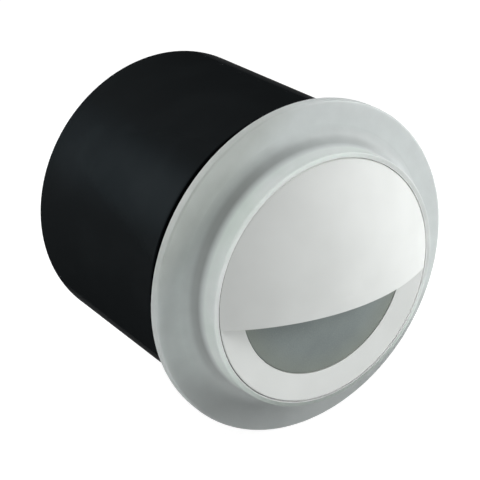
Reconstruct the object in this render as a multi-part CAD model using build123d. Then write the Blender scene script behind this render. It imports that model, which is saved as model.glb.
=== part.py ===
from build123d import *
import os
from math import asin, cos, degrees, radians, sin, sqrt

# Round recessed step light: a black sleeve that is let into a wall or a stair riser, and a lamp
# that slides into it on three blade springs. The lamp's front is a frosted glass trim ring, and
# in it a white cover with a half-closed eyelid over its crescent window.
# Millimetres. Y is the light's axis and runs into the wall, the wall's face is y = 0, the front
# looks along -Y, and Z is up. Each "circle" is the radius that a ring of screws or parts sits on.

# ---------------------------------------------------------------- clearances and screws
fit_gap = 0.3                # between turned pieces that slip into each other
seal_gap = 0.2               # a seal stays this far inside the edges it lies on
thread_gap = 0.08            # round a shank in its tapped hole
shank_gap = 0.12             # round a shank in a hole that it passes through
head_gap = 0.4               # round a screw's head in its recess
screw_bite = 5.0             # length of shank in the tapped piece
drill_margin = 1.0           # a blind hole goes this much deeper than its screw
groove_margin = 1.0          # the cutter of an outside groove stands this far clear of the piece
small_shank = 1.25
small_head = 2.2
small_head_height = 1.8
large_shank = 1.5
large_head = 2.7
large_head_height = 1.7
socket_radius = 0.9          # hexagon socket in every head
socket_depth = 0.9

# ---------------------------------------------------------------- glass trim ring
flange_radius = 50.0
flange_thickness = 2.8
flange_edge_round = 0.6
hub_height = 9.5             # rim above the flange's face
hub_wall = 1.5               # glass left round the cover, at the rim
hub_flare = 0.45             # how much wider the hub's wall is at its foot
hub_rim_round = 0.35
cove_radius = 4.6            # hollow curve between hub and flange

# ---------------------------------------------------------------- white cover with the eyelid
cover_gap = 0.25             # open line between the cover's edge and the glass
cover_edge_thickness = 2.5
cover_edge_round = 0.3
cover_ledge = 2.5            # width of the cover's edge that the glass carries
ring_width = 8.0             # of the white ring round the window
dish_depth = 1.0             # the ring falls this much from its rim to the window
window_lip = 0.8             # metal left in front of the lens
skirt_depth = 6.0            # back of the cover's spigot, behind the rim
eyelid_rise = 9.6            # the dome's top above the rim
eyelid_edge_drop = 5.0       # the eyelid's level edge is this far below the axis
eyelid_wall = 1.8
eyelid_edge_round = 0.4
eyelid_foot = 1.2            # depth that the eyelid's wall runs into the ring
cover_screw_bite = 3.0
cover_screw_count = 3
cover_screw_angle = 90.0
cover_drill_margin = 0.5     # their blind holes go this much deeper, under the thin ring

# ---------------------------------------------------------------- lens
lens_ledge = 1.2             # width of the lens that lies behind the cover
lens_thickness = 3.0
lens_edge_chamfer = 0.3
lens_seal_width = 2.4

# ---------------------------------------------------------------- lamp housing
drum_gap = 2.1               # room between drum and sleeve, for the blade springs
drum_length = 10.8
drum_chamfer = 0.6
washer_thickness = 0.8
washer_width = 6.9
cover_screw_floor = 0.5      # head seat of the cover's screws, behind the drum's shoulder

# ---------------------------------------------------------------- sleeve in the wall
sleeve_radius = 45.8         # for a hole of 92
sleeve_wall = 2.2
sleeve_rear_chamfer = 0.5
lip_width = 2.2              # the lip stands this far out of the sleeve
lip_thickness = 1.2
lip_round = 0.3
gasket_thickness = 2.4
gasket_width = 6.2
gasket_gap = 0.7             # round the lamp's drum

# ---------------------------------------------------------------- sleeve's end cap
cap_thickness = 2.5
cable_room = 5.0             # from the lamp's cable gland to the grommet in the cap
cap_rib_height = 3.0
cap_rib_thickness = 1.6
cap_rib_count = 6
cap_boss_radius = 3.4
cap_boss_length = 10.0
cap_boss_inset = 3.2         # boss centre inside the sleeve's bore
cap_screw_count = 3
cap_screw_angle = 30.0

# ---------------------------------------------------------------- cable grommet in the end cap
grommet_bore_radius = 4.0
grommet_waist_radius = 8.0
grommet_flange_radius = 10.5
grommet_flange_thickness = 1.5
grommet_nose_length = 3.5
grommet_nose_radius = 6.4

# ---------------------------------------------------------------- heat sink
sink_length = 16.0
fin_gap = 0.4                # fins stay this far inside the blade springs' feet
fin_depth = 9.0
fin_thickness = 1.8
fin_count = 4
sink_screw_count = 3
sink_screw_angle = 0.0

# ---------------------------------------------------------------- light source and reflector
board_gap = 3.0              # between the board's edge and the chamber's wall
board_thickness = 1.6
board_screw_inset = 2.4
board_screw_count = 2
pad_thickness = 0.3
chip_size = 3.5
chip_height = 0.8
chip_count = 6
chip_circle = 10.0
reflector_wall = 1.2
reflector_gap = 0.5          # between the reflector's mouth and the chamber
reflector_foot_height = 1.5
lead_radius = 0.8
lead_hole_radius = 1.5
lead_spread = 4.0            # each lead's distance from the middle plane
lead_height = 14.0           # and above the axis

# ---------------------------------------------------------------- driver case and its lid
case_step = 7.0              # the case is this much smaller than the fins, for the heat sink's screws
case_wall = 2.0
case_length = 19.0
case_floor = 2.0
case_screw_circle = 13.0
case_screw_count = 2
lid_thickness = 3.0
lid_seal_thickness = 0.8
lid_boss_radius = 2.6
lid_boss_inset = 1.3         # boss centre inside the case's wall
lid_screw_count = 3
lid_screw_angle = 90.0
post_height = 5.0
post_radius = 2.2
post_inset = 4.4             # from the board's edge
post_count = 3
post_angle = 30.0
driver_board_gap = 2.0       # between the driver board and the lid's bosses
driver_board_thickness = 1.6

# ---------------------------------------------------------------- parts on the driver board
transformer_gap = 0.5        # between the transformer and the cable gland's tail
transformer_nut_gap = 0.7    # and the gland's lock nut
transformer_drop = 3.0       # below the axis
transformer_width = 13.0
transformer_height = 12.0
transformer_limb = 2.4       # width of the core's limbs
winding_overhang = 1.2
capacitor_radius = 3.2
capacitor_height = 8.0
capacitor_crimp_depth = 0.35
capacitor_crimp_width = 0.6
capacitor_crimp_start = 1.0
capacitor_inset = 9.1        # from the board's edge, as the insets below are
capacitor_angle = -40.0
capacitor_pitch = 7.5
capacitor_count = 2
choke_inset = 9.1
choke_radius = 4.0
choke_height = 5.5
choke_flange = 1.2
choke_core_radius = 2.4
terminal_inset = 7.1
terminal_ways = 3
terminal_pitch = 5.0
terminal_height = 8.0
terminal_depth = 6.5
terminal_screw_radius = 1.6
terminal_screw_length = 2.4
terminal_screw_sink = 0.6    # screw's top below the block's
terminal_slot_width = 0.5
terminal_entry_radius = 1.4
terminal_entry_height = 2.0

# ---------------------------------------------------------------- blade springs
blade_count = 3
blade_angle = 30.0
blade_thickness = 0.5
blade_width = 9.0
blade_play = 0.3             # between the bow and the sleeve
blade_seat_depth = 1.1       # flat on the drum that the blade's foot lies on
blade_seat_margin = 0.6
blade_foot_start = 0.8
blade_foot_length = 8.6
blade_length = 32.6
blade_tip_drop = 1.9         # the tip is this much nearer the axis than the bow
blade_screw_place = 4.0      # from the start of the foot

# ---------------------------------------------------------------- cable gland on the lid
gland_thread_radius = 6.0
gland_wall = 1.5
gland_tail_length = 5.0      # thread that shows inside the case
gland_flats = 16.0           # across the flats of hexagon and nut
gland_hex_length = 3.5
gland_front_length = 6.5
gland_nut_gap = 0.5          # between hexagon and nut
gland_dome_length = 4.0
gland_dome_round = 1.0
gland_mouth_radius = 4.2
gland_mouth_wall = 1.5
gland_seal_bore_radius = 3.3
gland_seal_length = 6.0
lock_nut_thickness = 2.5

# ---------------------------------------------------------------- radii that follow
sleeve_bore_radius = sleeve_radius - sleeve_wall
drum_radius = sleeve_bore_radius - drum_gap
trim_bore_radius = drum_radius - drum_chamfer - washer_width
skirt_radius = trim_bore_radius - fit_gap
cover_radius = skirt_radius + cover_ledge
cover_recess_radius = cover_radius + cover_gap
hub_radius = cover_recess_radius + hub_wall
window_radius = cover_radius - ring_width
lens_radius = window_radius + lens_ledge
lens_pocket_radius = lens_radius + seal_gap
chamber_radius = lens_radius - lens_seal_width
lip_radius = sleeve_radius + lip_width
gasket_bore_radius = drum_radius + gasket_gap
gasket_radius = gasket_bore_radius + gasket_width
blade_seat_radius = drum_radius - blade_seat_depth
blade_crown_radius = sqrt((sleeve_bore_radius - blade_play) ** 2 - (blade_width / 2) ** 2)
fin_radius = blade_seat_radius - fin_gap
fin_root_radius = fin_radius - fin_depth
case_radius = fin_radius - case_step
sink_screw_circle = fin_radius - case_step / 2
cover_screw_circle = (lens_pocket_radius + skirt_radius) / 2
cap_radius = sleeve_bore_radius - fit_gap
cap_screw_circle = sleeve_bore_radius - cap_boss_inset
board_radius = chamber_radius - board_gap
board_screw_circle = board_radius - board_screw_inset
board_head_radius = small_head - seal_gap
reflector_mouth_radius = chamber_radius - reflector_gap
reflector_foot_radius = board_screw_circle - board_head_radius - head_gap
lid_screw_circle = case_radius - case_wall - lid_boss_inset
driver_board_radius = lid_screw_circle - lid_boss_radius - driver_board_gap
post_circle = driver_board_radius - post_inset
gland_bore_radius = gland_thread_radius - gland_wall

# ---------------------------------------------------------------- places along Y
lip_front = -lip_thickness
trim_back = lip_front - gasket_thickness
flange_front = trim_back - flange_thickness
rim = flange_front - hub_height
cover_edge_back = rim + cover_edge_thickness
lens_front = rim + dish_depth + window_lip
lens_back = lens_front + lens_thickness
skirt_back = rim + skirt_depth
neck_front = skirt_back + seal_gap
shoulder = trim_back + washer_thickness
drum_back = shoulder + drum_length
cover_screw_seat = shoulder + cover_screw_floor
sink_back = drum_back + sink_length
pad_front = drum_back - pad_thickness
board_front = pad_front - board_thickness
reflector_mouth = neck_front + reflector_gap
case_inside = sink_back + case_floor
case_back = sink_back + case_length
lid_front = case_back + lid_seal_thickness
lid_back = lid_front + lid_thickness
driver_board_front = case_inside + post_height
driver_board_back = driver_board_front + driver_board_thickness
gland_tail = lid_front - gland_tail_length
lock_nut_front = lid_front - lock_nut_thickness
transformer_depth = lock_nut_front - transformer_nut_gap - driver_board_back
gland_hex_back = lid_back + gland_hex_length
gland_body_back = gland_hex_back + gland_front_length
gland_nut_front = gland_hex_back + gland_nut_gap
gland_mouth = gland_body_back + gland_dome_length
cap_inside = gland_mouth + cable_room + grommet_flange_thickness
sleeve_length = cap_inside + cap_thickness
blade_foot_end = blade_foot_start + blade_foot_length
blade_end = blade_foot_start + blade_length


def turned(corners, rounds=None):
    """A piece turned about the Y axis from its (radius, y) corners. rounds: corner number to fillet."""
    face = make_face(Polyline(*corners, close=True))
    for number, radius in (rounds or {}).items():
        corner = face.vertices().sort_by_distance((*corners[number], 0))[0]
        face = fillet(corner, radius)
    return revolve(face, Axis.Y, 360)


def rod(radius, start, end, x=0.0, z=0.0):
    """A round rod along Y."""
    return Plane((x, start, z), x_dir=(1, 0, 0), z_dir=(0, 1, 0)) * extrude(Circle(radius), end - start)


def hex_rod(across_flats, start, end, x=0.0, z=0.0):
    """A hexagonal rod along Y, from its size across the flats."""
    outline = RegularPolygon(across_flats / 2, 6, major_radius=False)
    return Plane((x, start, z), x_dir=(1, 0, 0), z_dir=(0, 1, 0)) * extrude(outline, end - start)


def tube(outer, inner, start, end, x=0.0, z=0.0):
    """A round tube along Y."""
    return rod(outer, start, end, x, z) - rod(inner, start, end, x, z)


def block(low, high):
    """A block from its lowest and highest corners."""
    size = [b - a for a, b in zip(low, high)]
    middle = [(a + b) / 2 for a, b in zip(low, high)]
    return Pos(*middle) * Box(*size)


def around(count, first_angle, circle):
    """(x, z) places evenly round the axis; angle 0 is +X and 90 is up."""
    angles = [radians(first_angle + 360 * k / count) for k in range(count)]
    return [(circle * cos(a), circle * sin(a)) for a in angles]


def spokes(piece, count, first_angle):
    """Copies of a piece that lies along +X, turned evenly about the axis."""
    return [Rot(0, -(first_angle + 360 * k / count), 0) * piece for k in range(count)]


def axial_screw(top, height, head, shank, tip, x=0.0, z=0.0):
    """A socket screw along Y: its head's top is at top and its point at tip, which may lie either way."""
    way = 1 if tip > top else -1
    seat = top + way * height
    socket_floor = top + way * socket_depth
    screw = rod(head, min(top, seat), max(top, seat), x, z)
    screw += rod(shank, min(seat, tip), max(seat, tip), x, z)
    return screw - hex_rod(2 * socket_radius, min(top, socket_floor), max(top, socket_floor), x, z)


cover_screw_places = around(cover_screw_count, cover_screw_angle, cover_screw_circle)
cap_screw_places = around(cap_screw_count, cap_screw_angle, cap_screw_circle)
sink_screw_places = around(sink_screw_count, sink_screw_angle, sink_screw_circle)
case_screw_places = around(case_screw_count, 0.0, case_screw_circle)
board_screw_places = around(board_screw_count, 0.0, board_screw_circle)
lid_screw_places = around(lid_screw_count, lid_screw_angle, lid_screw_circle)
post_places = around(post_count, post_angle, post_circle)
lead_places = [(-lead_spread, lead_height), (lead_spread, lead_height)]
transformer_place = (-gland_thread_radius - transformer_gap - transformer_width / 2, -transformer_drop)
choke_place = (driver_board_radius - choke_inset, 0.0)
terminal_place = (0.0, driver_board_radius - terminal_inset)
capacitor_circle = driver_board_radius - capacitor_inset
capacitor_step = degrees(2 * asin(capacitor_pitch / 2 / capacitor_circle))
capacitor_angles = [capacitor_angle - k * capacitor_step for k in range(capacitor_count)]
capacitor_places = [place for angle in capacitor_angles for place in around(1, angle, capacitor_circle)]


# ---------------------------------------------------------------- pieces of the sleeve
def mounting_sleeve():
    """The can in the wall: a tube with a thin lip in front and bosses for its end cap behind."""
    sleeve = turned(
        [
            (sleeve_bore_radius, lip_front),
            (lip_radius, lip_front),
            (lip_radius, 0),
            (sleeve_radius, 0),
            (sleeve_radius, sleeve_length - sleeve_rear_chamfer),
            (sleeve_radius - sleeve_rear_chamfer, sleeve_length),
            (sleeve_bore_radius, sleeve_length),
        ],
        {1: lip_round},
    )
    inside_wall = rod(sleeve_radius - sleeve_wall / 2, 0, sleeve_length)
    for x, z in cap_screw_places:
        sleeve += rod(cap_boss_radius, cap_inside - cap_boss_length, cap_inside, x, z) & inside_wall
    for x, z in cap_screw_places:
        hole_floor = cap_inside - screw_bite - drill_margin
        sleeve -= rod(large_shank + thread_gap, hole_floor, cap_inside, x, z)
    return sleeve


def sleeve_end_cap():
    """A ribbed disc that closes the sleeve, with a hole for the grommet and sunk screw heads."""
    cap = rod(cap_radius, cap_inside, sleeve_length)
    rib_start = grommet_flange_radius + fit_gap
    rib_end = cap_screw_circle - cap_boss_radius - fit_gap
    rib = block(
        (rib_start, cap_inside - cap_rib_height, -cap_rib_thickness / 2),
        (rib_end, cap_inside, cap_rib_thickness / 2),
    )
    for one in spokes(rib, cap_rib_count, 0):
        cap += one
    cap -= rod(grommet_waist_radius + thread_gap, cap_inside, sleeve_length)
    for x, z in cap_screw_places:
        cap -= rod(large_shank + shank_gap, cap_inside, sleeve_length, x, z)
        cap -= rod(large_head + head_gap, sleeve_length - large_head_height, sleeve_length, x, z)
    return cap


def end_cap_screws():
    tip = cap_inside - screw_bite
    return [
        axial_screw(sleeve_length, large_head_height, large_head, large_shank, tip, x, z)
        for x, z in cap_screw_places
    ]


def cable_grommet():
    """A rubber bush with a flange on each side of the cap and a short tapered nose."""
    inner_face = cap_inside - grommet_flange_thickness
    nose = sleeve_length + grommet_nose_length
    return turned(
        [
            (grommet_bore_radius, inner_face),
            (grommet_flange_radius, inner_face),
            (grommet_flange_radius, cap_inside),
            (grommet_waist_radius, cap_inside),
            (grommet_waist_radius, sleeve_length),
            (grommet_flange_radius, sleeve_length),
            (grommet_flange_radius, sleeve_length + grommet_flange_thickness),
            (grommet_nose_radius, nose),
            (grommet_bore_radius, nose),
        ]
    )


# ---------------------------------------------------------------- front of the lamp
def wall_gasket():
    return tube(gasket_radius, gasket_bore_radius, trim_back, lip_front)


def glass_trim():
    """The frosted ring: a flat flange, a raised hub and a hollow curve between them."""
    return turned(
        [
            (trim_bore_radius, trim_back),
            (flange_radius, trim_back),
            (flange_radius, flange_front),
            (hub_radius + hub_flare, flange_front),
            (hub_radius, rim),
            (cover_recess_radius, rim),
            (cover_recess_radius, cover_edge_back),
            (trim_bore_radius, cover_edge_back),
        ],
        {2: flange_edge_round, 3: cove_radius, 4: hub_rim_round},
    )


def glass_washer():
    """Soft ring between the glass and the housing's shoulder."""
    return tube(drum_radius - drum_chamfer, trim_bore_radius, trim_back, shoulder)


def ring_face(radius):
    """Y of the ring's dished face at a radius."""
    return rim + dish_depth * (cover_radius - radius) / (cover_radius - window_radius)


def cover_ring():
    """The dished white ring round the window, with the spigot that centres it in the glass."""
    return turned(
        [
            (window_radius, ring_face(window_radius)),
            (cover_radius, rim),
            (cover_radius, cover_edge_back),
            (skirt_radius, cover_edge_back),
            (skirt_radius, skirt_back),
            (lens_pocket_radius, skirt_back),
            (lens_pocket_radius, lens_front),
            (window_radius, lens_front),
        ],
        {1: cover_edge_round},
    )


def eyelid():
    """The upper part of a thin dome that stands on the ring, cut off level below."""
    foot_radius = cover_radius - cover_edge_round
    foot = ring_face(foot_radius)
    top = rim - eyelid_rise
    dome_radius = (foot_radius**2 + (foot - top) ** 2) / (2 * (foot - top))
    centre = top + dome_radius
    inner_radius = dome_radius - eyelid_wall
    spread = degrees(asin(foot_radius / dome_radius))
    inner_foot_radius = sqrt(inner_radius**2 - (centre - foot) ** 2)
    inner_spread = degrees(asin(inner_foot_radius / inner_radius))
    sunk = foot + eyelid_foot
    outline = [
        CenterArc((0, centre), dome_radius, -90, spread),
        Line((foot_radius, foot), (foot_radius, sunk)),
        Line((foot_radius, sunk), (inner_foot_radius, sunk)),
        Line((inner_foot_radius, sunk), (inner_foot_radius, foot)),
        CenterArc((0, centre), inner_radius, -90, inner_spread),
        Line((0, top + eyelid_wall), (0, top)),
    ]
    dome = revolve(make_face(outline), Axis.Y, 360)
    above_edge = block(
        (-cover_radius, top - eyelid_wall, -eyelid_edge_drop),
        (cover_radius, sunk, cover_radius),
    )
    lid = dome & above_edge
    level_face = lid.faces().sort_by(Axis.Z)[0]
    front_edge = level_face.edges().sort_by(lambda edge: (edge @ 0.5).Y)[0]
    return fillet(front_edge, eyelid_edge_round)


def eyelid_cover():
    cover = cover_ring() + eyelid()
    for x, z in cover_screw_places:
        hole_floor = skirt_back - cover_screw_bite - cover_drill_margin
        cover -= rod(small_shank + thread_gap, hole_floor, skirt_back, x, z)
    return cover


def window_lens():
    return turned(
        [
            (0, lens_front),
            (lens_radius - lens_edge_chamfer, lens_front),
            (lens_radius, lens_front + lens_edge_chamfer),
            (lens_radius, lens_back),
            (0, lens_back),
        ]
    )


def lens_seal():
    return tube(lens_radius - seal_gap, chamber_radius + seal_gap, lens_back, neck_front)


# ---------------------------------------------------------------- lamp housing and heat sink
def lamp_housing():
    """A neck inside the glass, a drum with flats for the springs, and the light's chamber through both."""
    housing = turned(
        [
            (chamber_radius, neck_front),
            (skirt_radius, neck_front),
            (skirt_radius, shoulder),
            (drum_radius - drum_chamfer, shoulder),
            (drum_radius, shoulder + drum_chamfer),
            (drum_radius, drum_back),
            (chamber_radius, drum_back),
        ]
    )
    for x, z in cover_screw_places:
        housing -= rod(small_shank + shank_gap, neck_front, drum_back, x, z)
        housing -= rod(small_head + head_gap, cover_screw_seat, drum_back, x, z)
    for x, z in sink_screw_places:
        housing -= rod(large_shank + thread_gap, drum_back - screw_bite - drill_margin, drum_back, x, z)
    half_seat = blade_width / 2 + blade_seat_margin
    seat = block(
        (blade_seat_radius, blade_foot_start - blade_seat_margin, -half_seat),
        (drum_radius + drum_gap, drum_back, half_seat),
    )
    hole_floor = blade_seat_radius - screw_bite - drill_margin
    tapped = radial_rod(large_shank + thread_gap, hole_floor, drum_radius)
    for cutter in spokes(seat + tapped, blade_count, blade_angle):
        housing -= cutter
    return housing


def cover_screws():
    top = cover_screw_seat + small_head_height
    tip = skirt_back - cover_screw_bite
    return [
        axial_screw(top, small_head_height, small_head, small_shank, tip, x, z)
        for x, z in cover_screw_places
    ]


def heat_sink():
    """A thick aluminium root with round fins; its front carries the light source."""
    sink = rod(fin_root_radius, drum_back, sink_back)
    pitch = (sink_length - fin_thickness) / (fin_count - 1)
    for k in range(fin_count):
        start = drum_back + k * pitch
        sink += rod(fin_radius, start, start + fin_thickness)
    for x, z in sink_screw_places:
        sink -= rod(large_shank + shank_gap, drum_back, sink_back, x, z)
    for x, z in lead_places:
        sink -= rod(lead_hole_radius, drum_back, sink_back, x, z)
    for x, z in board_screw_places:
        sink -= rod(small_shank + thread_gap, drum_back, drum_back + screw_bite + drill_margin, x, z)
    for x, z in case_screw_places:
        sink -= rod(large_shank + thread_gap, sink_back - screw_bite - drill_margin, sink_back, x, z)
    return sink


def heat_sink_screws():
    top = sink_back + large_head_height
    tip = drum_back - screw_bite
    return [
        axial_screw(top, large_head_height, large_head, large_shank, tip, x, z)
        for x, z in sink_screw_places
    ]


# ---------------------------------------------------------------- light source and reflector
def thermal_pad():
    pad = rod(board_radius, pad_front, drum_back)
    for x, z in lead_places:
        pad -= rod(lead_hole_radius, pad_front, drum_back, x, z)
    for x, z in board_screw_places:
        pad -= rod(small_shank + shank_gap, pad_front, drum_back, x, z)
    return pad


def led_board():
    board = rod(board_radius, board_front, pad_front)
    for x, z in board_screw_places:
        board -= rod(small_shank + shank_gap, board_front, pad_front, x, z)
    return board


def led_board_screws():
    top = board_front - small_head_height
    tip = drum_back + screw_bite
    return [
        axial_screw(top, small_head_height, board_head_radius, small_shank, tip, x, z)
        for x, z in board_screw_places
    ]


def led_chips():
    half = chip_size / 2
    return [
        block((x - half, board_front - chip_height, z - half), (x + half, board_front, z + half))
        for x, z in around(chip_count, 0.0, chip_circle)
    ]


def reflector():
    """A white cone from the light source to the lens, standing on the board."""
    foot_front = board_front - reflector_foot_height
    throat_radius = reflector_foot_radius - reflector_wall
    return turned(
        [
            (throat_radius, board_front),
            (throat_radius, foot_front),
            (reflector_mouth_radius - reflector_wall, reflector_mouth),
            (reflector_mouth_radius, reflector_mouth),
            (reflector_foot_radius, foot_front),
            (reflector_foot_radius, board_front),
        ]
    )


def led_leads():
    return [rod(lead_radius, pad_front, driver_board_front, x, z) for x, z in lead_places]


# ---------------------------------------------------------------- blade springs
def radial_rod(radius, start, end):
    """A round rod along +X over the middle of a blade's screw place."""
    place = blade_foot_start + blade_screw_place
    return Plane((start, place, 0), x_dir=(0, 1, 0), z_dir=(1, 0, 0)) * extrude(Circle(radius), end - start)


def blade_spring():
    """A bent strip, pressed in: a flat foot on the drum, a bow along the sleeve and a turned-in tip."""
    seat_top = blade_seat_radius + blade_thickness
    inner_crown = blade_crown_radius - blade_thickness
    tip = blade_crown_radius - blade_tip_drop
    inner_tip = tip - blade_thickness
    bow = (blade_foot_end + blade_end) / 2
    outline = [
        Line((blade_seat_radius, blade_foot_start), (blade_seat_radius, blade_foot_end)),
        ThreePointArc((blade_seat_radius, blade_foot_end), (inner_crown, bow), (inner_tip, blade_end)),
        Line((inner_tip, blade_end), (tip, blade_end)),
        ThreePointArc((tip, blade_end), (blade_crown_radius, bow), (seat_top, blade_foot_end)),
        Line((seat_top, blade_foot_end), (seat_top, blade_foot_start)),
        Line((seat_top, blade_foot_start), (blade_seat_radius, blade_foot_start)),
    ]
    blade = extrude(make_face(outline), blade_width / 2, both=True)
    return blade - radial_rod(large_shank + shank_gap, blade_seat_radius, seat_top)


def blade_springs():
    return spokes(blade_spring(), blade_count, blade_angle)


def blade_spring_screws():
    seat = blade_seat_radius + blade_thickness
    top = seat + large_head_height
    shank = radial_rod(large_shank, blade_seat_radius - screw_bite, seat)
    screw = radial_rod(large_head, seat, top) + shank
    socket = radial_rod(socket_radius, top - socket_depth, top)
    return spokes(screw - socket, blade_count, blade_angle)


# ---------------------------------------------------------------- driver case
def driver_case():
    """A pot for the driver, with bosses for the lid and posts for the board."""
    case = rod(case_radius, sink_back, case_back) - rod(case_radius - case_wall, case_inside, case_back)
    inside_wall = rod(case_radius - case_wall / 2, sink_back, case_back)
    for x, z in lid_screw_places:
        case += rod(lid_boss_radius, case_inside, case_back, x, z) & inside_wall
    for x, z in post_places:
        case += rod(post_radius, case_inside, driver_board_front, x, z)
    for x, z in lid_screw_places:
        case -= rod(small_shank + thread_gap, case_back - screw_bite - drill_margin, case_back, x, z)
    for x, z in post_places:
        case -= rod(small_shank + thread_gap, case_inside, driver_board_front, x, z)
    for x, z in lead_places:
        case -= rod(lead_hole_radius, sink_back, case_inside, x, z)
    for x, z in case_screw_places:
        case -= rod(large_shank + shank_gap, sink_back, case_inside, x, z)
    return case


def case_screws():
    top = case_inside + large_head_height
    tip = sink_back - screw_bite
    return [
        axial_screw(top, large_head_height, large_head, large_shank, tip, x, z)
        for x, z in case_screw_places
    ]


def lid_seal():
    """A flat gasket that follows the case's wall and its screw bosses."""
    outside = rod(case_radius - seal_gap, case_back, lid_front)
    seal = outside - rod(case_radius - case_wall + seal_gap, case_back, lid_front)
    for x, z in lid_screw_places:
        seal += rod(lid_boss_radius - seal_gap, case_back, lid_front, x, z) & outside
    for x, z in lid_screw_places:
        seal -= rod(small_shank + shank_gap, case_back, lid_front, x, z)
    return seal


def driver_lid():
    lid = rod(case_radius, lid_front, lid_back)
    lid = chamfer(lid.edges().group_by(Axis.Y)[-1], drum_chamfer)
    lid -= rod(gland_thread_radius + thread_gap, lid_front, lid_back)
    for x, z in lid_screw_places:
        lid -= rod(small_shank + shank_gap, lid_front, lid_back, x, z)
    return lid


def lid_screws():
    top = lid_back + small_head_height
    tip = case_back - screw_bite
    return [
        axial_screw(top, small_head_height, small_head, small_shank, tip, x, z)
        for x, z in lid_screw_places
    ]


# ---------------------------------------------------------------- driver electronics
def driver_board():
    board = rod(driver_board_radius, driver_board_front, driver_board_back)
    for x, z in post_places:
        board -= rod(small_shank + shank_gap, driver_board_front, driver_board_back, x, z)
    return board


def driver_board_screws():
    top = driver_board_back + small_head_height
    tip = case_inside + drill_margin
    return [
        axial_screw(top, small_head_height, small_head, small_shank, tip, x, z)
        for x, z in post_places
    ]


def on_board(place, width, height, low, high):
    """A block over a place of the driver board, between two heights above it."""
    x, z = place
    return block(
        (x - width / 2, driver_board_back + low, z - height / 2),
        (x + width / 2, driver_board_back + high, z + height / 2),
    )


def transformer_core():
    """A closed ferrite frame with its window open up and down."""
    core = on_board(transformer_place, transformer_width, transformer_height, 0, transformer_depth)
    window_width = transformer_width - 2 * transformer_limb
    window_top = transformer_depth - transformer_limb
    window = on_board(transformer_place, window_width, transformer_height, transformer_limb, window_top)
    return core - window


def transformer_winding():
    """The coil block that fills the core's window and stands out of both its ends."""
    width = transformer_width - 2 * (transformer_limb + thread_gap)
    height = transformer_height + 2 * winding_overhang
    low = transformer_limb + thread_gap
    high = transformer_depth - transformer_limb - thread_gap
    return on_board(transformer_place, width, height, low, high)


def capacitors():
    """Round cans with the crimped neck near the foot."""
    cans = []
    groove_outer = capacitor_radius + groove_margin
    for x, z in capacitor_places:
        crimp = driver_board_back + capacitor_crimp_start
        neck = capacitor_radius - capacitor_crimp_depth
        can = rod(capacitor_radius, driver_board_back, driver_board_back + capacitor_height, x, z)
        cans.append(can - tube(groove_outer, neck, crimp, crimp + capacitor_crimp_width, x, z))
    return cans


def choke():
    """A bobbin with its two flanges."""
    x, z = choke_place
    top = driver_board_back + choke_height
    spool = rod(choke_radius, driver_board_back, top, x, z)
    low, high = driver_board_back + choke_flange, top - choke_flange
    return spool - tube(choke_radius + groove_margin, choke_core_radius, low, high, x, z)


def terminal_centres():
    x, z = terminal_place
    return [(x + terminal_pitch * (k - (terminal_ways - 1) / 2), z) for k in range(terminal_ways)]


def terminal_block():
    """One way for each mains wire, with a screw well on top and an entry through it."""
    top = driver_board_back + terminal_depth
    body = on_board(terminal_place, terminal_ways * terminal_pitch, terminal_height, 0, terminal_depth)
    well_floor = top - terminal_screw_sink - terminal_screw_length
    for x, z in terminal_centres():
        body -= rod(terminal_screw_radius + thread_gap, well_floor, top, x, z)
        entry = Cylinder(terminal_entry_radius, terminal_height)
        body -= Pos(x, driver_board_back + terminal_entry_height, z) * entry
    return body


def terminal_screws():
    top = driver_board_back + terminal_depth - terminal_screw_sink
    half_slot = terminal_slot_width / 2
    screws = []
    for x, z in terminal_centres():
        screw = rod(terminal_screw_radius, top - terminal_screw_length, top, x, z)
        slot = block(
            (x - terminal_screw_radius, top - terminal_screw_sink, z - half_slot),
            (x + terminal_screw_radius, top, z + half_slot),
        )
        screws.append(screw - slot)
    return screws


# ---------------------------------------------------------------- cable gland
def gland_body():
    body = rod(gland_thread_radius, gland_tail, gland_body_back)
    body += hex_rod(gland_flats, lid_back, gland_hex_back)
    return body - rod(gland_bore_radius, gland_tail, gland_body_back)


def lock_nut():
    nut = hex_rod(gland_flats, lock_nut_front, lid_front)
    return nut - rod(gland_thread_radius + thread_gap, lock_nut_front, lid_front)


def gland_nut():
    """The domed cap nut that squeezes the seal."""
    dome = turned(
        [
            (0, gland_body_back),
            (gland_flats / 2, gland_body_back),
            (gland_mouth_radius + gland_mouth_wall, gland_mouth),
            (0, gland_mouth),
        ],
        {2: gland_dome_round},
    )
    nut = hex_rod(gland_flats, gland_nut_front, gland_body_back) + dome
    nut -= rod(gland_thread_radius + thread_gap, gland_nut_front, gland_body_back + thread_gap)
    return nut - rod(gland_mouth_radius, gland_body_back, gland_mouth)


def gland_seal():
    outer = gland_bore_radius - thread_gap
    return tube(outer, gland_seal_bore_radius, gland_body_back - gland_seal_length, gland_body_back)


pieces = [
    mounting_sleeve,
    sleeve_end_cap,
    end_cap_screws,
    cable_grommet,
    wall_gasket,
    glass_trim,
    glass_washer,
    eyelid_cover,
    cover_screws,
    window_lens,
    lens_seal,
    lamp_housing,
    blade_springs,
    blade_spring_screws,
    heat_sink,
    heat_sink_screws,
    thermal_pad,
    led_board,
    led_board_screws,
    led_chips,
    reflector,
    led_leads,
    driver_case,
    case_screws,
    lid_seal,
    driver_lid,
    lid_screws,
    driver_board,
    driver_board_screws,
    transformer_core,
    transformer_winding,
    capacitors,
    choke,
    terminal_block,
    terminal_screws,
    gland_body,
    lock_nut,
    gland_nut,
    gland_seal,
]

os.makedirs("parts", exist_ok=True)
for piece in pieces:
    made = piece()
    shapes = made if isinstance(made, list) else [made]
    solids = [solid for shape in shapes for solid in shape.solids()]
    export_step(Compound(children=solids), f"parts/{piece.__name__}.step")
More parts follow.
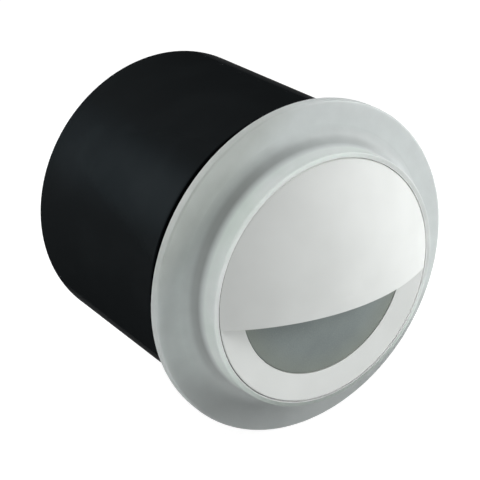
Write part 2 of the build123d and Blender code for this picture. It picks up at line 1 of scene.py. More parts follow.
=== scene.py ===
# %% [markdown]
# # A recessed step light, dressed for its photograph
#
# The light is a black sleeve that disappears into a wall, and a lamp that slides into it. What
# people see is the lamp's front: a ring of frosted glass, and in it a white cover whose half-closed
# eyelid sends the light down onto the step.
#
# The construction is finished before this script starts. It arrives as a frame of named nodes, in
# metres, with the wall's face at y = 0, the front looking along -Y and Z up. This script gives every
# piece its finish, models the one piece that needs more than its plain solid, and sets up the
# camera, the floor and the lamps.

# %% Load the frame
import bmesh
import bpy
import math
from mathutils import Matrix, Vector


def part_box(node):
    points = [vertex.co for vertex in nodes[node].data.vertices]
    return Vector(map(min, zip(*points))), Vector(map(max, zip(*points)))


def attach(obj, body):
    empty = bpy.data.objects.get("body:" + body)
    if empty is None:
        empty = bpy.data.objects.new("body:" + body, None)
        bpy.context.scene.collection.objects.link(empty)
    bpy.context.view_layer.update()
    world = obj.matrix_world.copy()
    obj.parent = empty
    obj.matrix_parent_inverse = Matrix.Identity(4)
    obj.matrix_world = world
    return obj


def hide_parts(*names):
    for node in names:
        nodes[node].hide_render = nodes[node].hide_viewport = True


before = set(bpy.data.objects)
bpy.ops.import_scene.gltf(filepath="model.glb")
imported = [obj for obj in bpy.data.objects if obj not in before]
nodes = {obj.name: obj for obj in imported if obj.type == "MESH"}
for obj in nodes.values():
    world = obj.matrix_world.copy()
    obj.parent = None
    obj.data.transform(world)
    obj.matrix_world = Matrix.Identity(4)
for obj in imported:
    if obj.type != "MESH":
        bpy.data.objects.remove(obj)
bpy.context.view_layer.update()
scene = bpy.context.scene

# %% [markdown]
# ## Sizes that the rest is worked out from
#
# Nothing is measured twice. The frame already knows how big each piece is, so the script reads the
# corners of a node's box and keeps the few radii and places that the camera, the finishes and the
# new piece need.

# %% Read the sizes from the frame
MM = 0.001


def radius_of(node):
    """Half the width of a piece that is round about the Y axis."""
    low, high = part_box(node)
    return (high.x - low.x) / 2


flange_radius = radius_of("glass_trim")
cover_radius = radius_of("eyelid_cover")
glass_front, flange_back = (corner.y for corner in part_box("glass_trim"))
sleeve_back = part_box("mounting_sleeve")[1].y
print(f"trim {flange_radius * 2 / MM:.1f} mm across, can {(sleeve_back - flange_back) / MM:.1f} mm deep")

# %% [markdown]
# ## The camera
#
# The photograph looks at the front from its left and a little from above. A camera could be placed by
# eye, and it would never quite fit. But the outline of the glass ring is a circle, and the ellipse
# that it makes in the picture gives the direction, the distance and the lens together. The distance
# and the aim are written as shares of the ring's radius, so the view would follow a light of another
# size.

# %% Place the camera
camera_azimuth = math.radians(-34.37)
camera_elevation = math.radians(23.94)
camera_distance = 7.604 * flange_radius
sensor_width = 36            # millimetres, as the lens is
camera_lens = 104.14
aim = Vector((-0.4244 * flange_radius, flange_back, 0.2772 * flange_radius))

towards_camera = Vector(
    (
        math.sin(camera_azimuth) * math.cos(camera_elevation),
        -math.cos(camera_azimuth) * math.cos(camera_elevation),
        math.sin(camera_elevation),
    )
)
camera = bpy.data.objects.new("camera", bpy.data.cameras.new("camera"))
scene.collection.objects.link(camera)
camera.data.sensor_width = sensor_width
camera.data.lens = camera_lens
camera.location = aim + camera_distance * towards_camera
camera.rotation_euler = towards_camera.to_track_quat("Z", "Y").to_euler()
scene.camera = camera
print("camera at", [round(value, 4) for value in camera.location])

# %% [markdown]
# ## A small kit for materials
#
# A finish is a few shader nodes: noise that varies a colour, noise that varies the roughness, and
# noise that becomes bumps. They could be wired by hand in the shader editor, but there are 22
# finishes, and they differ mostly in their numbers. So `put` adds a node and fills its sockets in
# one line. A number or a colour goes into the socket itself, and the output of another node is
# linked to it. Socket names have spaces, so `To_Min=0` fills the socket called To Min.
#
# The function that makes a finish has the name of the slot that the finish is for. `keep` runs it
# and files what comes back under that name.

# %% Add nodes and fill their sockets
def put(owner, kind, settings=None, **inputs):
    """A new shader node. Inputs are numbers, colours or the outputs of other nodes."""
    node = owner.node_tree.nodes.new("ShaderNode" + kind)
    for name, value in (settings or {}).items():
        setattr(node, name, value)
    for name, value in inputs.items():
        fill(owner, node.inputs[name.replace("_", " ")], value)
    return node


def fill(owner, socket, value):
    """Set a socket to a value, or link it to another node's output."""
    if isinstance(value, bpy.types.NodeSocket):
        owner.node_tree.links.new(value, socket)
    else:
        socket.default_value = value


def calculate(owner, operation, *values):
    """A sum, a product or another calculation with numbers and outputs."""
    node = put(owner, "Math", {"operation": operation})
    for socket, value in zip(node.inputs, values):
        fill(owner, socket, value)
    return node.outputs[0]


# %% Start a finish, paint it and keep it
finishes = {}


def main_shader(material):
    return material.node_tree.nodes["Principled BSDF"]


def paint(material, **sockets):
    """Link or set the main shader's sockets."""
    for socket, value in sockets.items():
        fill(material, main_shader(material).inputs[socket.replace("_", " ")], value)
    return material


def new_finish(name, **sockets):
    """A material with its main shader's constant sockets set."""
    material = bpy.data.materials.new(name)
    material.use_nodes = True
    return paint(material, **sockets)


def keep(*makers):
    """Run each maker and keep its finish under the maker's name, which is its slot's name."""
    for maker in makers:
        material = maker()
        finishes[maker.__name__] = material
        print(f"{maker.__name__}: {material.name}, {len(material.node_tree.nodes)} shader nodes")


# %% [markdown]
# ### Places, noise, colours and bumps
#
# Every finish here is worked out from the place on the object, so no picture has to be wrapped
# round a piece. Noise gives a number near 0.5 for each place. `ramp` turns such a number into a
# colour, `spread` into another number, such as a roughness, and `bump` tilts the surface with it.

# %% Where a point lies
def place(material):
    """Where a point lies on the object, in metres."""
    return put(material, "TexCoord").outputs["Object"]


def coordinate(material, axis):
    """One coordinate of the place: X, Y or Z."""
    return put(material, "SeparateXYZ", Vector=place(material)).outputs[axis]


def length(material, vector):
    """How long a vector is."""
    node = put(material, "VectorMath", {"operation": "LENGTH"})
    fill(material, node.inputs[0], vector)
    return node.outputs["Value"]


def from_axis(material):
    """Distance from the light's axis, in metres."""
    flat = put(material, "CombineXYZ", X=coordinate(material, "X"), Z=coordinate(material, "Z"))
    return length(material, flat.outputs["Vector"])


# %% Turn a number into a colour, another number or bumps
def grain(material, size, detail, where=None):
    """Noise with blobs of about one size, in metres. Its values lie round 0.5."""
    vector = where or place(material)
    return put(material, "TexNoise", Vector=vector, Scale=1 / size, Detail=detail).outputs["Fac"]


def steps(material, value, stops):
    """A colour that runs through stops. Each stop is (value, colour), with values from 0 to 1."""
    node = put(material, "ValToRGB", Fac=value)
    elements = node.color_ramp.elements
    while len(elements) < len(stops):
        elements.new(0.5)
    for element, (position, colour) in zip(elements, stops):
        element.position = position
        element.color = (*colour, 1)
    return node.outputs["Color"]


def ramp(material, value, low_colour, high_colour, low=0.35, high=0.65):
    """One colour below low, another above high, and a blend between them."""
    return steps(material, value, [(low, low_colour), (high, high_colour)])


def spread(owner, value, low, high, start=0.3, end=0.7):
    """A value that goes from start to end, mapped to run from low to high."""
    node = put(owner, "MapRange", Value=value, From_Min=start, From_Max=end, To_Min=low, To_Max=high)
    return node.outputs["Result"]


def bump(material, height, depth, strength):
    """Bumps of a height field, depth metres deep."""
    return put(material, "Bump", Height=height, Distance=depth, Strength=strength).outputs["Normal"]


# %% [markdown]
# ## Frosted glass
#
# The trim ring is pressed glass whose whole surface has been etched matt. Light enters it, scatters
# and comes out somewhere near, so it looks like pale ice with a touch of green, and never shows what
# lies behind it sharply. Plain rough transmission would need many samples and still look like wet
# plastic. Subsurface scattering does what the glass does: it carries light round the hub's edge and
# softens the shadow in the groove, so it makes the body here, with a little transmission on top.
#
# The groove between the hub and the flange looks darker than either, because the light has furthest to go
# there and the dark housing stands behind it. That light and shade is painted into the glass's colour as a
# short profile, measured along the surface from the hub's rim outwards, and the finish reads it off with
# colour ramps. The painted light isn't the same all the way round: the groove is faint towards the upper
# right, and the whole foot is greyer with painted shade, so the profile has three columns, which blend
# round the ring.

# %% Painted light and shade along the glass's surface
gap_radius = cover_radius + 0.25 * MM    # of the hole that the cover sits in
rim_width = 1.55 * MM
hub_radius = gap_radius + rim_width
hub_tint = (0.91, 1.0, 0.95)
flange_tints = [(0.935, 1.0, 0.985), (0.945, 1.0, 0.993), (0.945, 1.0, 0.993)]
hub_ends = 5.0 * MM
painted_glass_profile = [
    # how far along the surface, from the hub's rim outwards, and the painted light and shade there, as how
    # pale the glass is: on the left, towards the upper right, and at the foot
    (-1.6 * MM, 0.95, 0.92, 0.46),
    (0.6 * MM, 0.95, 0.92, 0.46),
    (1.6 * MM, 0.96, 1.00, 0.55),
    (4.4 * MM, 0.96, 1.00, 0.60),
    (6.0 * MM, 0.74, 0.80, 0.58),
    (7.6 * MM, 0.44, 0.64, 0.56),
    (9.9 * MM, 0.53, 0.65, 0.56),
    (11.6 * MM, 0.73, 0.70, 0.53),
    (14.5 * MM, 0.83, 0.72, 0.51),
    (18.0 * MM, 0.80, 0.70, 0.50),
    (21.4 * MM, 0.75, 0.70, 0.48),
    (22.2 * MM, 0.54, 0.76, 0.45),
]
profile_start, profile_end = painted_glass_profile[0][0], painted_glass_profile[-1][0]
profile_length = profile_end - profile_start
print(f"hub {2 * hub_radius / MM:.1f} mm across, profile {profile_length / MM:.1f} mm long")


# %% Read the profile off
def along_glass(material):
    """How far along the profile a point lies, from 0 at its start to 1 at its end."""
    outwards = calculate(material, "SUBTRACT", from_axis(material), hub_radius)
    backwards = calculate(material, "SUBTRACT", coordinate(material, "Y"), glass_front)
    along = calculate(material, "ADD", outwards, backwards)
    return spread(material, along, 0, 1, profile_start, profile_end)


def painted_glass_light(material, along, column):
    """The glass's colour with its painted light and shade, read off one column of its profile."""
    stops = []
    for how_far, *paleness in painted_glass_profile:
        tint = hub_tint if how_far < hub_ends else flange_tints[column]
        colour = [paleness[column] * part for part in tint]
        stops.append(((how_far - profile_start) / profile_length, colour))
    return steps(material, along, stops)


# %% [markdown]
# ### Places that differ from the profile
#
# Four places need a touch more. Painted shade makes the flange greyer at the upper left and the hub's rim
# duller on the far side, and takes away the groove's pale edge where it runs out above on the right. In the
# narrow gap round the cover the glass carries light down from the rim, so there it scatters further, and
# painted light makes it paler, or the gap would look like a black line.
#
# They could be painted by hand on a map of the surface. Here each is a share from 0 to 1 instead,
# worked out from the place: how far out in one direction, how far from the axis, or both multiplied.
# That stays sharp at any size and needs no picture.

# %% Shares that say where
def towards(material, side):
    """A share that goes from 0 to 1 between two distances in a direction."""
    direction, start, end = side
    node = put(material, "VectorMath", {"operation": "DOT_PRODUCT"})
    fill(material, node.inputs[0], place(material))
    node.inputs[1].default_value = direction
    return spread(material, node.outputs["Value"], 0, 1, start, end)


def within(material, border):
    """1 nearer to the axis than a border, which fades between two radii, and 0 beyond it."""
    return spread(material, from_axis(material), 1, 0, *border)


def beyond(material, border):
    """0 nearer to the axis than a border, which fades between two radii, and 1 beyond it."""
    return spread(material, from_axis(material), 0, 1, *border)


# %% Blend and shade colours
white = (1, 1, 1, 1)


def mix(material, way, share, first, second):
    """A node that mixes two colours. Its factor and its colours are sockets 0, 6 and 7."""
    node = put(material, "Mix", {"data_type": "RGBA", "blend_type": way})
    for number, value in ((0, share), (6, first), (7, second)):
        fill(material, node.inputs[number], value)
    return node.outputs[2]


def times(material, first, second):
    """Two colours multiplied."""
    return mix(material, "MULTIPLY", 1, first, second)


def blend(material, first, second, share):
    """From one colour to another as a share goes from 0 to 1."""
    return mix(material, "MIX", share, first, second)


def shaded(material, colour, shade, share):
    """A colour that is multiplied by a shade as a share goes from 0 to 1."""
    return times(material, colour, blend(material, white, (*shade, 1), share))


# %% Sides and borders of the trim ring
# a side is a direction and the two distances in it between which a change comes in
upper_right = ((0.6, 0.0, 0.8), 0.0, 38.0 * MM)
foot_side = ((0.0, 0.0, 1.0), -14.0 * MM, -34.0 * MM)
upper_left = ((-0.7, 0.0, 0.7), 36.0 * MM, 44.0 * MM)
far_side = ((0.9, 0.0, 0.43), 17.0 * MM, 32.0 * MM)
groove_end = ((0.47, 0.0, 0.88), 36.3 * MM, 39.8 * MM)

# a border is the two radii between which it fades
gap_border = (gap_radius + 0.1 * MM, gap_radius + 0.35 * MM)
rim_border = (hub_radius - 0.1 * MM, hub_radius + 0.4 * MM)
groove_inner = (hub_radius + 0.2 * MM, hub_radius + 0.8 * MM)
groove_outer = (hub_radius + 3.5 * MM, hub_radius + 5.5 * MM)
groove_width = groove_outer[1] - groove_inner[0]
print(f"gap {(gap_radius - cover_radius) / MM:.2f} mm wide, groove {groove_width / MM:.1f} mm")

# %% The etched glass of the trim ring
# painted shades for three places on the ring, and painted light for the gap round the cover
upper_left_shade = (0.84, 0.84, 0.815)
far_rim_shade = (0.79, 0.755, 0.78)
groove_end_shade = (0.87, 0.87, 0.87)
gap_painted_light = (0.95, 1.0, 0.97)
body_scatter = 1.2 * MM
gap_scatter = 4.0 * MM


def frosted_glass():
    material = new_finish("etched_glass", Transmission_Weight=0.1, IOR=1.5, Specular_IOR_Level=0.4,
                          Subsurface_Weight=1.0, Subsurface_Radius=(1, 1, 1))
    along = along_glass(material)
    # painted light and shade from the profile, blended round the ring, with painted shade at the foot
    left, right, foot = (painted_glass_light(material, along, column) for column in range(3))
    body = blend(material, left, right, towards(material, upper_right))
    body = blend(material, body, foot, towards(material, foot_side))
    # painted shade at the upper left of the flange
    body = shaded(material, body, upper_left_shade, towards(material, upper_left))

    # painted shade on the far side of the rim and where the groove runs out
    far_rim = calculate(material, "MULTIPLY", within(material, rim_border), towards(material, far_side))
    body = shaded(material, body, far_rim_shade, far_rim)
    groove = calculate(material, "MULTIPLY", beyond(material, groove_inner), within(material, groove_outer))
    pale_end = calculate(material, "MULTIPLY", groove, towards(material, groove_end))
    body = shaded(material, body, groove_end_shade, pale_end)
    # painted light in the narrow gap round the cover
    in_gap = within(material, gap_border)
    body = blend(material, body, (*gap_painted_light, 1), in_gap)

    mottle = ramp(material, grain(material, 6 * MM, detail=3), (0.95, 0.95, 0.95), (1, 1, 1))
    speck = grain(material, 0.5 * MM, detail=2)
    return paint(material, Base_Color=times(material, body, mottle),
                 Roughness=spread(material, speck, low=0.42, high=0.62),
                 Normal=bump(material, speck, depth=0.03 * MM, strength=0.5),
                 Subsurface_Scale=spread(material, in_gap, body_scatter, gap_scatter, 0, 1))


keep(frosted_glass)

# %% [markdown]
# ## White enamel on the cover
#
# The cover is cast metal with a satin white powder coat. Powder melts into a film that is never
# quite flat: under a lamp it shows a faint orange peel of about a millimetre. One white with one
# roughness would do from far off, and it would look like plastic. The colour hardly varies, so it is
# the bump and a slightly uneven roughness that make it look like paint.
#
# The cover's edge faces the glass across the narrow gap, whose width is the same all round. The line there
# is dark at the lower left and almost as pale as the glass on the far side, so the edge's colour carries
# painted shade at the lower left and painted light on the far side.

# %% The cover's powder coat
edge_border = (cover_radius - 0.12 * MM, cover_radius - 0.04 * MM)
enamel_dark, enamel_light = (0.735, 0.757, 0.739), (0.77, 0.793, 0.775)
# painted shade at the lower left of the cover's edge and painted light on its far side
near_edge_shade = (0.35, 0.35, 0.34)
far_edge_painted_light = (1.22, 1.22, 1.2)
far_edge = ((0.6, 0.0, 0.8), -24.0 * MM, 12.0 * MM)


def white_enamel():
    material = new_finish("white_powder_coat", Specular_IOR_Level=0.25)
    peel = grain(material, 1.1 * MM, detail=2)
    cloud = grain(material, 14 * MM, detail=2)
    colour = ramp(material, cloud, enamel_dark, enamel_light)
    # the edge's painted shade and light, faded in at the cover's rim
    edge = blend(material, (*near_edge_shade, 1), (*far_edge_painted_light, 1), towards(material, far_edge))
    painted_edge_shade_and_light = blend(material, white, edge, beyond(material, edge_border))
    return paint(material, Base_Color=times(material, colour, painted_edge_shade_and_light),
                 Roughness=spread(material, cloud, low=0.46, high=0.56),
                 Normal=bump(material, peel, depth=0.02 * MM, strength=0.35))


keep(white_enamel)

# %% [markdown]
# ## The finish of the lens
#
# The window is closed by a disc of frosted glass. By daylight it looks a cool grey, warmer towards its edge
# where it reflects the ring round it, with a fine speckle and here and there a brighter grain. Clear glass
# with a rough face would show the dark housing behind it, so the body has a colour of its own and lets only
# a little light through. Two noises make the speckle, a ramp over the distance from the axis paints the
# ring's reflection as a warm edge, and small cells with a bright heart make the grains.

# %% The frosted lens
ring_width = 8.0 * MM
window_radius = cover_radius - ring_width
ring_reflection_border = (window_radius - 7 * MM, window_radius)
lens_dark, lens_light = (0.275, 0.325, 0.32), (0.375, 0.435, 0.425)
cool_tint, reflected_ring_tint = (0.92, 0.92, 0.92), (1.0, 0.965, 0.88)
grain_spacing = 1.6 * MM
between_grains = (0.83, 0.83, 0.83)


def lens_frosted():
    material = new_finish("frosted_lens", Transmission_Weight=0.25, IOR=1.5, Specular_IOR_Level=0.35)
    speck = grain(material, 0.35 * MM, detail=2)
    cloud = grain(material, 9 * MM, detail=2)
    mixed = calculate(material, "MULTIPLY_ADD", speck, 0.6, spread(material, cloud, low=0.1, high=0.3))
    body = ramp(material, mixed, lens_dark, lens_light, low=0.3, high=0.7)
    # painted reflection of the ring, warmer towards the lens's edge
    ring_reflection = ramp(material, beyond(material, ring_reflection_border), cool_tint, reflected_ring_tint, low=0, high=1)
    cells = put(material, "TexVoronoi", Vector=place(material), Scale=1 / grain_spacing)
    grains = ramp(material, cells.outputs["Distance"], (1, 1, 1), between_grains, low=0.06, high=0.12)
    return paint(material, Base_Color=times(material, times(material, body, ring_reflection), grains),
                 Roughness=spread(material, speck, low=0.4, high=0.6),
                 Normal=bump(material, speck, depth=0.03 * MM, strength=0.6))


keep(lens_frosted)
print(f"window {2 * window_radius / MM:.1f} mm across")

# %% [markdown]
# ## Black plastics and rubber
#
# Several black finishes sit side by side, and they only look like separate pieces if each has its own
# sheen. They could be one material, as they are all nearly black, but then the gasket would melt into
# the sleeve. One function makes them all from the same two noises, and the callers differ in colour,
# grain and roughness.
#
# The sleeve is the hard one. It is almost black, yet it shows one broad soft streak and no bright line at
# its outline. A plain glossy shader reflects the white studio at every grazing edge. A part of metal with a
# black edge tint keeps the streak and drops the outline. Close to the gasket the sleeve is darker still, so
# the finish has a band of painted shade there.

# %% Moulded, painted and rubber blacks
def black_finish(name, colour, dusty, roughness, grain_size, depth, gloss):
    """A black surface with grain and a trace of dust. The roughness is (low, high)."""
    material = new_finish(name, Specular_IOR_Level=gloss)
    fine = grain(material, grain_size, detail=2)
    cloud = grain(material, 22 * MM, detail=4)
    return paint(material, Base_Color=ramp(material, cloud, colour, dusty, low=0.45, high=0.8),
                 Roughness=spread(material, cloud, *roughness),
                 Normal=bump(material, fine, depth=depth, strength=0.5))


def gasket_rubber():
    return black_finish("foam_rubber", (0.0015, 0.0015, 0.0015), (0.004, 0.004, 0.004),
                        roughness=(0.75, 0.9), grain_size=0.5 * MM, depth=0.06 * MM, gloss=0.02)


def grommet_rubber():
    return black_finish("moulded_rubber", (0.008, 0.008, 0.008), (0.016, 0.016, 0.015),
                        roughness=(0.5, 0.65), grain_size=0.4 * MM, depth=0.02 * MM, gloss=0.3)


def housing_black():
    return black_finish("painted_casting", (0.012, 0.012, 0.012), (0.02, 0.02, 0.02),
                        roughness=(0.35, 0.5), grain_size=0.7 * MM, depth=0.03 * MM, gloss=0.4)


def case_black():
    return black_finish("glass_filled_black", (0.014, 0.014, 0.015), (0.024, 0.024, 0.025),
                        roughness=(0.45, 0.6), grain_size=0.5 * MM, depth=0.02 * MM, gloss=0.4)


def gland_nylon():
    return black_finish("black_nylon", (0.013, 0.013, 0.013), (0.02, 0.02, 0.02),
                        roughness=(0.3, 0.42), grain_size=0.9 * MM, depth=0.01 * MM, gloss=0.45)


keep(gasket_rubber, grommet_rubber, housing_black, case_black, gland_nylon)

# %% The sleeve with painted shade next to the gasket
shade_band_end = flange_back + 6.4 * MM
shade_band_fade = 1.4 * MM
shade_band_colour = (0.08, 0.08, 0.08)
black_edge = (0, 0, 0)


def sleeve_black():
    material = black_finish("anodised_black", (0.0150, 0.0172, 0.0184), (0.0180, 0.0207, 0.0220),
                            roughness=(0.32, 0.38), grain_size=0.35 * MM, depth=0.015 * MM, gloss=0.0)
    # a band of painted shade on the sleeve next to the gasket
    past_shade_band = spread(material, coordinate(material, "Y"), 0, 1, shade_band_end, shade_band_end + shade_band_fade)
    shade_band = ramp(material, past_shade_band, shade_band_colour, (1, 1, 1), low=0, high=1)
    tint = main_shader(material).inputs["Base Color"].links[0].from_socket
    return paint(material, Base_Color=times(material, tint, shade_band), Metallic=0.45,
                 Specular_Tint=(*black_edge, 1))


keep(sleeve_black)

# %% [markdown]
# ## Metals
#
# A turned surface has fine rings round the axis, and a rolled strip has lines along its length. The
# shader's own anisotropy would stretch the highlight, but it shows no lines in a close view. Both are
# noise here that is squeezed in one direction: for the rings the noise reads only the distance from
# the axis and the place along it, so it comes out the same all the way round.

# %% Turned aluminium, rolled spring steel and plated screws
def stretched(material, factors):
    """The place, stretched so that a grain comes out long in one direction."""
    mapping = put(material, "Mapping", Vector=place(material))
    mapping.inputs["Scale"].default_value = factors
    return mapping.outputs["Vector"]


def sink_aluminium():
    material = new_finish("turned_aluminium", Metallic=1.0)
    rings = put(material, "CombineXYZ", X=from_axis(material), Y=coordinate(material, "Y"))
    lines = grain(material, 0.25 * MM, detail=3, where=rings.outputs["Vector"])
    cloud = grain(material, 12 * MM, detail=3)
    return paint(material, Base_Color=ramp(material, cloud, (0.60, 0.61, 0.62), (0.70, 0.70, 0.70)),
                 Roughness=spread(material, lines, low=0.24, high=0.42),
                 Normal=bump(material, lines, depth=0.02 * MM, strength=0.5))


def spring_steel():
    material = new_finish("rolled_spring_steel", Metallic=1.0)
    lines = grain(material, 0.3 * MM, detail=3, where=stretched(material, (1, 0.04, 1)))
    cloud = grain(material, 5 * MM, detail=3)
    return paint(material, Base_Color=ramp(material, cloud, (0.42, 0.41, 0.39), (0.56, 0.55, 0.53)),
                 Roughness=spread(material, lines, low=0.2, high=0.36),
                 Normal=bump(material, lines, depth=0.01 * MM, strength=0.5))


def screw_steel():
    material = new_finish("zinc_plated_steel", Metallic=1.0)
    fine = grain(material, 0.25 * MM, detail=3)
    cloud = grain(material, 1.5 * MM, detail=3)
    return paint(material, Base_Color=ramp(material, cloud, (0.50, 0.50, 0.49), (0.68, 0.68, 0.67)),
                 Roughness=spread(material, cloud, low=0.22, high=0.4),
                 Normal=bump(material, fine, depth=0.008 * MM, strength=0.5))


keep(sink_aluminium, spring_steel, screw_steel)

# %% [markdown]
# ## Inside the lamp
#
# The driver and the light source are closed in, but they are finished too, because the exported
# model can be taken apart. A real board's tracks could be drawn one by one, which nobody would see.
# So a board gets its copper tracks from a brick pattern seen through the solder mask, and the winding
# gets the lines of its tape from a wave.

# %% Circuit boards
def board(name, mask, track, copper_size):
    """A circuit board: lighter tracks under a coloured solder mask."""
    material = new_finish(name, Specular_IOR_Level=0.5, Coat_Weight=0.3, Coat_Roughness=0.15)
    plane = put(material, "Mapping", Vector=place(material))
    plane.inputs["Rotation"].default_value = (math.pi / 2, 0, 0)
    tracks = put(material, "TexBrick", {"offset": 0.37}, Vector=plane.outputs["Vector"],
                 Scale=1 / copper_size, Mortar_Size=0.12, Mortar_Smooth=0.1).outputs["Fac"]
    cloud = grain(material, 1.6 * MM, detail=2)
    tint = ramp(material, cloud, mask, [1.12 * part for part in mask])
    return paint(material, Base_Color=blend(material, tint, (*track, 1), tracks),
                 Roughness=spread(material, cloud, low=0.28, high=0.4),
                 Normal=bump(material, tracks, depth=0.03 * MM, strength=0.6))


def board_white():
    return board("white_board", mask=(0.74, 0.74, 0.72), track=(0.62, 0.63, 0.62), copper_size=3.2 * MM)


def board_green():
    return board("green_board", mask=(0.012, 0.11, 0.045), track=(0.03, 0.2, 0.09), copper_size=2.1 * MM)


keep(board_white, board_green)

# %% Moulded, sintered and printed pieces
def speckled(name, dark, light, size, roughness):
    """A plain surface with a fine speckle. The roughness is (low, high)."""
    material = new_finish(name, Specular_IOR_Level=0.5)
    speck = grain(material, size, detail=3)
    return paint(material, Base_Color=ramp(material, speck, dark, light),
                 Roughness=spread(material, speck, *roughness),
                 Normal=bump(material, speck, depth=0.02 * MM, strength=0.5))


def chip_yellow():
    return speckled("phosphor", (0.78, 0.55, 0.07), (0.86, 0.66, 0.13),
                    size=0.2 * MM, roughness=(0.35, 0.5))


def pad_grey():
    return speckled("thermal_silicone", (0.16, 0.17, 0.18), (0.22, 0.23, 0.24),
                    size=0.3 * MM, roughness=(0.6, 0.8))


def reflector_white():
    return speckled("satin_reflector", (0.84, 0.84, 0.83), (0.88, 0.88, 0.87),
                    size=1.5 * MM, roughness=(0.25, 0.35))


def lead_red():
    return speckled("silicone_wire", (0.34, 0.012, 0.01), (0.44, 0.02, 0.016),
                    size=0.6 * MM, roughness=(0.4, 0.55))


def ferrite():
    return speckled("sintered_ferrite", (0.018, 0.018, 0.02), (0.045, 0.045, 0.048),
                    size=0.25 * MM, roughness=(0.4, 0.65))


def can_sleeve():
    return speckled("shrunk_sleeve", (0.012, 0.016, 0.03), (0.02, 0.025, 0.045),
                    size=0.9 * MM, roughness=(0.25, 0.35))


def terminal_green():
    return speckled("terminal_plastic", (0.03, 0.22, 0.07), (0.045, 0.28, 0.095),
                    size=0.8 * MM, roughness=(0.35, 0.5))


keep(chip_yellow, pad_grey, reflector_white, lead_red, ferrite, can_sleeve, terminal_green)

# %% The transformer's winding
tape_pitch = 1.1 * MM
tape_shadow, tape_yellow = (0.62, 0.42, 0.03), (0.86, 0.66, 0.10)
unit_wave = 0.314            # the length of one wave in a wave texture of scale 1


def winding_tape():
    material = new_finish("yellow_tape")
    turns = put(material, "TexWave", {"bands_direction": "Z", "wave_profile": "SIN"},
                Vector=place(material), Scale=unit_wave / tape_pitch, Distortion=0.6,
                Detail=2.0).outputs["Fac"]
    return paint(material, Base_Color=ramp(material, turns, tape_shadow, tape_yellow, low=0.1, high=0.8),
                 Roughness=spread(material, turns, low=0.22, high=0.34, start=0, end=1),
                 Normal=bump(material, turns, depth=0.15 * MM, strength=0.7))


keep(winding_tape)

# %% [markdown]
# ## Giving each node its finish
#
# The frame's nodes already carry the record's slot names as their materials, so one loop can put the
# right finish on each of them. Going through the nodes one by one would be as good, but a new screw
# would then be easy to forget.

# %% Dress the nodes
for node in nodes.values():
    for slot in node.material_slots:
        slot.material = finishes[slot.material.name.split(".")[0]]
print(len(nodes), "nodes dressed with", len(finishes), "finishes")

# %% [markdown]
# ## The lens with its raised face
#
# The lens lies behind the cover, but its face stands up into the window until it is almost flush
# with the ring, so that rain runs off instead of standing on a ledge. The frame's lens is a plain
# disc behind the cover. The raised face could be a second disc laid on it, which would leave a seam
# inside the glass. A turned profile gives the whole lens as one closed skin, so that replaces it.
#
# `turned` spins a profile round the light's axis. Each point is a distance from the axis and a place
# along Y, and a profile that starts and ends on the axis closes by itself.

# %% Turn a profile
steps_round = 160
same_point = 0.001 * MM
sharp_from = math.radians(40)


def turned(name, profile, slot):
    """A closed piece, spun round the Y axis from (distance, place) points that start and end on it."""
    shape = bmesh.new()
    corners = [shape.verts.new((distance, along, 0)) for distance, along in profile]
    for pair in zip(corners, corners[1:]):
        shape.edges.new(pair)
    bmesh.ops.spin(shape, geom=shape.verts[:] + shape.edges[:], cent=(0, 0, 0), axis=(0, 1, 0),
                   angle=2 * math.pi, steps=steps_round, use_merge=True)
    bmesh.ops.remove_doubles(shape, verts=shape.verts[:], dist=same_point)
    bmesh.ops.recalc_face_normals(shape, faces=shape.faces[:])
    mesh = bpy.data.meshes.new(name)
    shape.to_mesh(mesh)
    shape.free()
    piece = bpy.data.objects.new(name, mesh)
    scene.collection.objects.link(piece)
    mesh.materials.append(finishes[slot])
    mesh.shade_smooth()
    mesh.set_sharp_from_angle(angle=sharp_from)
    return piece


def round_corner(distance, along, radius, first, last, points=5):
    """Points of a rounded corner about a centre, from one angle to another, in degrees."""
    angles = [math.radians(first + (last - first) * step / (points - 1)) for step in range(points)]
    return [(distance + radius * math.cos(angle), along + radius * math.sin(angle)) for angle in angles]


# %% Turn the lens
lens_radius = radius_of("window_lens")
lens_front, lens_back = (corner.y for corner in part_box("window_lens"))
window_gap = 0.12 * MM       # between the raised face and the window's edge
raised = 0.65 * MM
face_round = 0.3 * MM
face_radius = window_radius - window_gap
face_front = lens_front - raised
lens_profile = [
    (0, face_front),
    *round_corner(face_radius - face_round, face_front + face_round, face_round, -90, 0),
    (face_radius, lens_front),
    (lens_radius - face_round, lens_front),
    (lens_radius, lens_front + face_round),
    (lens_radius, lens_back),
    (0, lens_back),
]
raised_lens = turned("raised_lens", lens_profile, "lens_frosted")
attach(raised_lens, "lamp")
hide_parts("window_lens")
print(f"lens {lens_radius * 2 / MM:.1f} mm across, face raised {raised / MM:.2f} mm")

# %% [markdown]
# ## Floor and background
#
# The photograph has a pure white background. More light would bleach the object with it, so the
# floor and the world show white to the camera instead, while the light that they give stays at a
# plain level. A Light Path node tells the two apart. Reflections see a white horizon too, but over it
# the sky darkens, as a studio's ceiling does, or the top of the black sleeve would turn grey.

# %% The world
ambient = 0.20
sky_above = 0.12
sky_starts, sky_ends = 0.1, 0.35         # how steeply a reflection looks up, as a sine


def is_ray(owner, *kinds):
    """1 for rays of the kinds that are named, and 0 for others."""
    path = put(owner, "LightPath")
    total = path.outputs[f"Is {kinds[0]} Ray"]
    for kind in kinds[1:]:
        total = calculate(owner, "MAXIMUM", total, path.outputs[f"Is {kind} Ray"])
    return total


def seen_directly(owner):
    """1 for rays that show the background: camera, glossy and transmission rays."""
    return is_ray(owner, "Camera", "Glossy", "Transmission")


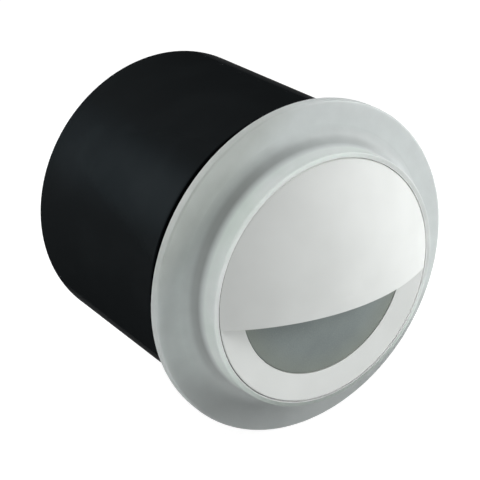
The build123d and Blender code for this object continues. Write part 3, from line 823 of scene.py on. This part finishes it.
def make_world():
    world = bpy.data.worlds.new("studio")
    world.use_nodes = True
    scene.world = world
    background = world.node_tree.nodes["Background"]
    background.inputs["Color"].default_value = white
    direction = put(world, "TexCoord").outputs["Generated"]
    upward = put(world, "SeparateXYZ", Vector=direction).outputs["Z"]
    sky = spread(world, upward, 1.0, sky_above, sky_starts, sky_ends)
    shown = calculate(world, "MAXIMUM", sky, is_ray(world, "Camera"))
    strength = spread(world, seen_directly(world), ambient, shown, 0, 1)
    fill(world, background.inputs["Strength"], strength)
    return world


print("world:", len(make_world().node_tree.nodes), "shader nodes")

# %% [markdown]
# ### The floor
#
# A floor that is only lit would need lamps all round to look white, and one that only glows would
# have no shadow. So most of what is seen of this one glows, and the rest is lit, which leaves the
# light in its own soft shadow. Far off the lamps don't reach it, so there it glows a little more, and
# no horizon shows.

# %% The floor
floor_size = 3.0
floor_drop = 1.0 * MM        # how far it lies under the ring's lowest point
floor_grey = (0.75, 0.75, 0.75, 1)
glowing_share = 0.6          # of a seen floor; the rest is lit and takes the shadow
near_glow, far_glow = 1.52, 1.70
near_ends, far_starts = 0.25, 0.7        # metres from the object


def floor_paint():
    material = bpy.data.materials.new("pale_floor")
    material.use_nodes = True
    material.node_tree.nodes.remove(main_shader(material))
    distance = length(material, place(material))
    strength = spread(material, distance, near_glow, far_glow, near_ends, far_starts)
    glow = put(material, "Emission", Strength=strength).outputs[0]
    matt = put(material, "BsdfDiffuse", Color=floor_grey).outputs[0]
    share = calculate(material, "MULTIPLY", seen_directly(material), glowing_share)
    both = put(material, "MixShader")
    for socket, value in zip(both.inputs, (share, matt, glow)):
        fill(material, socket, value)
    fill(material, material.node_tree.nodes["Material Output"].inputs["Surface"], both.outputs[0])
    return material


def make_floor():
    mesh = bpy.data.meshes.new("floor")
    half = floor_size / 2
    height = -flange_radius - floor_drop
    corners = [(-half, -half, height), (half, -half, height), (half, half, height), (-half, half, height)]
    mesh.from_pydata(corners, [], [(0, 1, 2, 3)])
    mesh.materials.append(floor_paint())
    floor = bpy.data.objects.new("floor", mesh)
    scene.collection.objects.link(floor)
    return height


print(f"floor at {make_floor() / MM:.1f} mm")

# %% [markdown]
# ## The lamps
#
# Three soft lamps light the front. Two stand on the right, one high and one level with the object, so
# that the glass and the cover fall off towards the lower left, and a weaker one fills in from the
# left. A fourth hangs above, behind the flange: it can't reach the flange's face, but it grazes the
# wall of the hub, which is why the hub stands out against its dark groove. A fifth, close behind on
# the left, is there only for the black sleeve: its reflection is the broad streak. Points or spots
# would give the satin paint hard highlights, so each lamp is a rectangle. The camera doesn't see
# them, because some views look through where they hang.

# %% Set up the lamps
def soft_lamp(name, position, aim_at, size, watts):
    """A rectangular softbox of a width and a height that points at a place."""
    data = bpy.data.lights.new(name, "AREA")
    data.shape = "RECTANGLE"
    data.size, data.size_y = size
    data.energy = watts
    lamp = bpy.data.objects.new(name, data)
    lamp.visible_camera = False
    scene.collection.objects.link(lamp)
    lamp.location = position
    away = Vector(position) - Vector(aim_at)
    lamp.rotation_euler = away.to_track_quat("Z", "Y").to_euler()
    print(f"{name}: {watts} W, {away.length:.2f} m away")


front_middle = (0, glass_front, 0)
sleeve_middle = (0, sleeve_back / 2, 0)
soft_lamp("side", (0.294, -0.229, 0.170), front_middle, size=(0.16, 0.16), watts=0.80)
soft_lamp("left", (-0.42, -0.14, 0.12), front_middle, size=(0.20, 0.30), watts=0.45)
soft_lamp("low", (0.30, -0.22, 0.02), front_middle, size=(0.16, 0.10), watts=0.42)
soft_lamp("rim", (-0.10, 0.08, 0.34), front_middle, size=(0.16, 0.16), watts=0.36)
soft_lamp("strip", (-0.16, 0.26, 0.115), sleeve_middle, size=(0.20, 0.16), watts=0.58)

# %% [markdown]
# ## Finish
#
# The standard view shows each colour as it is written.

# %% Set the view transform
scene.view_settings.view_transform = "Standard"
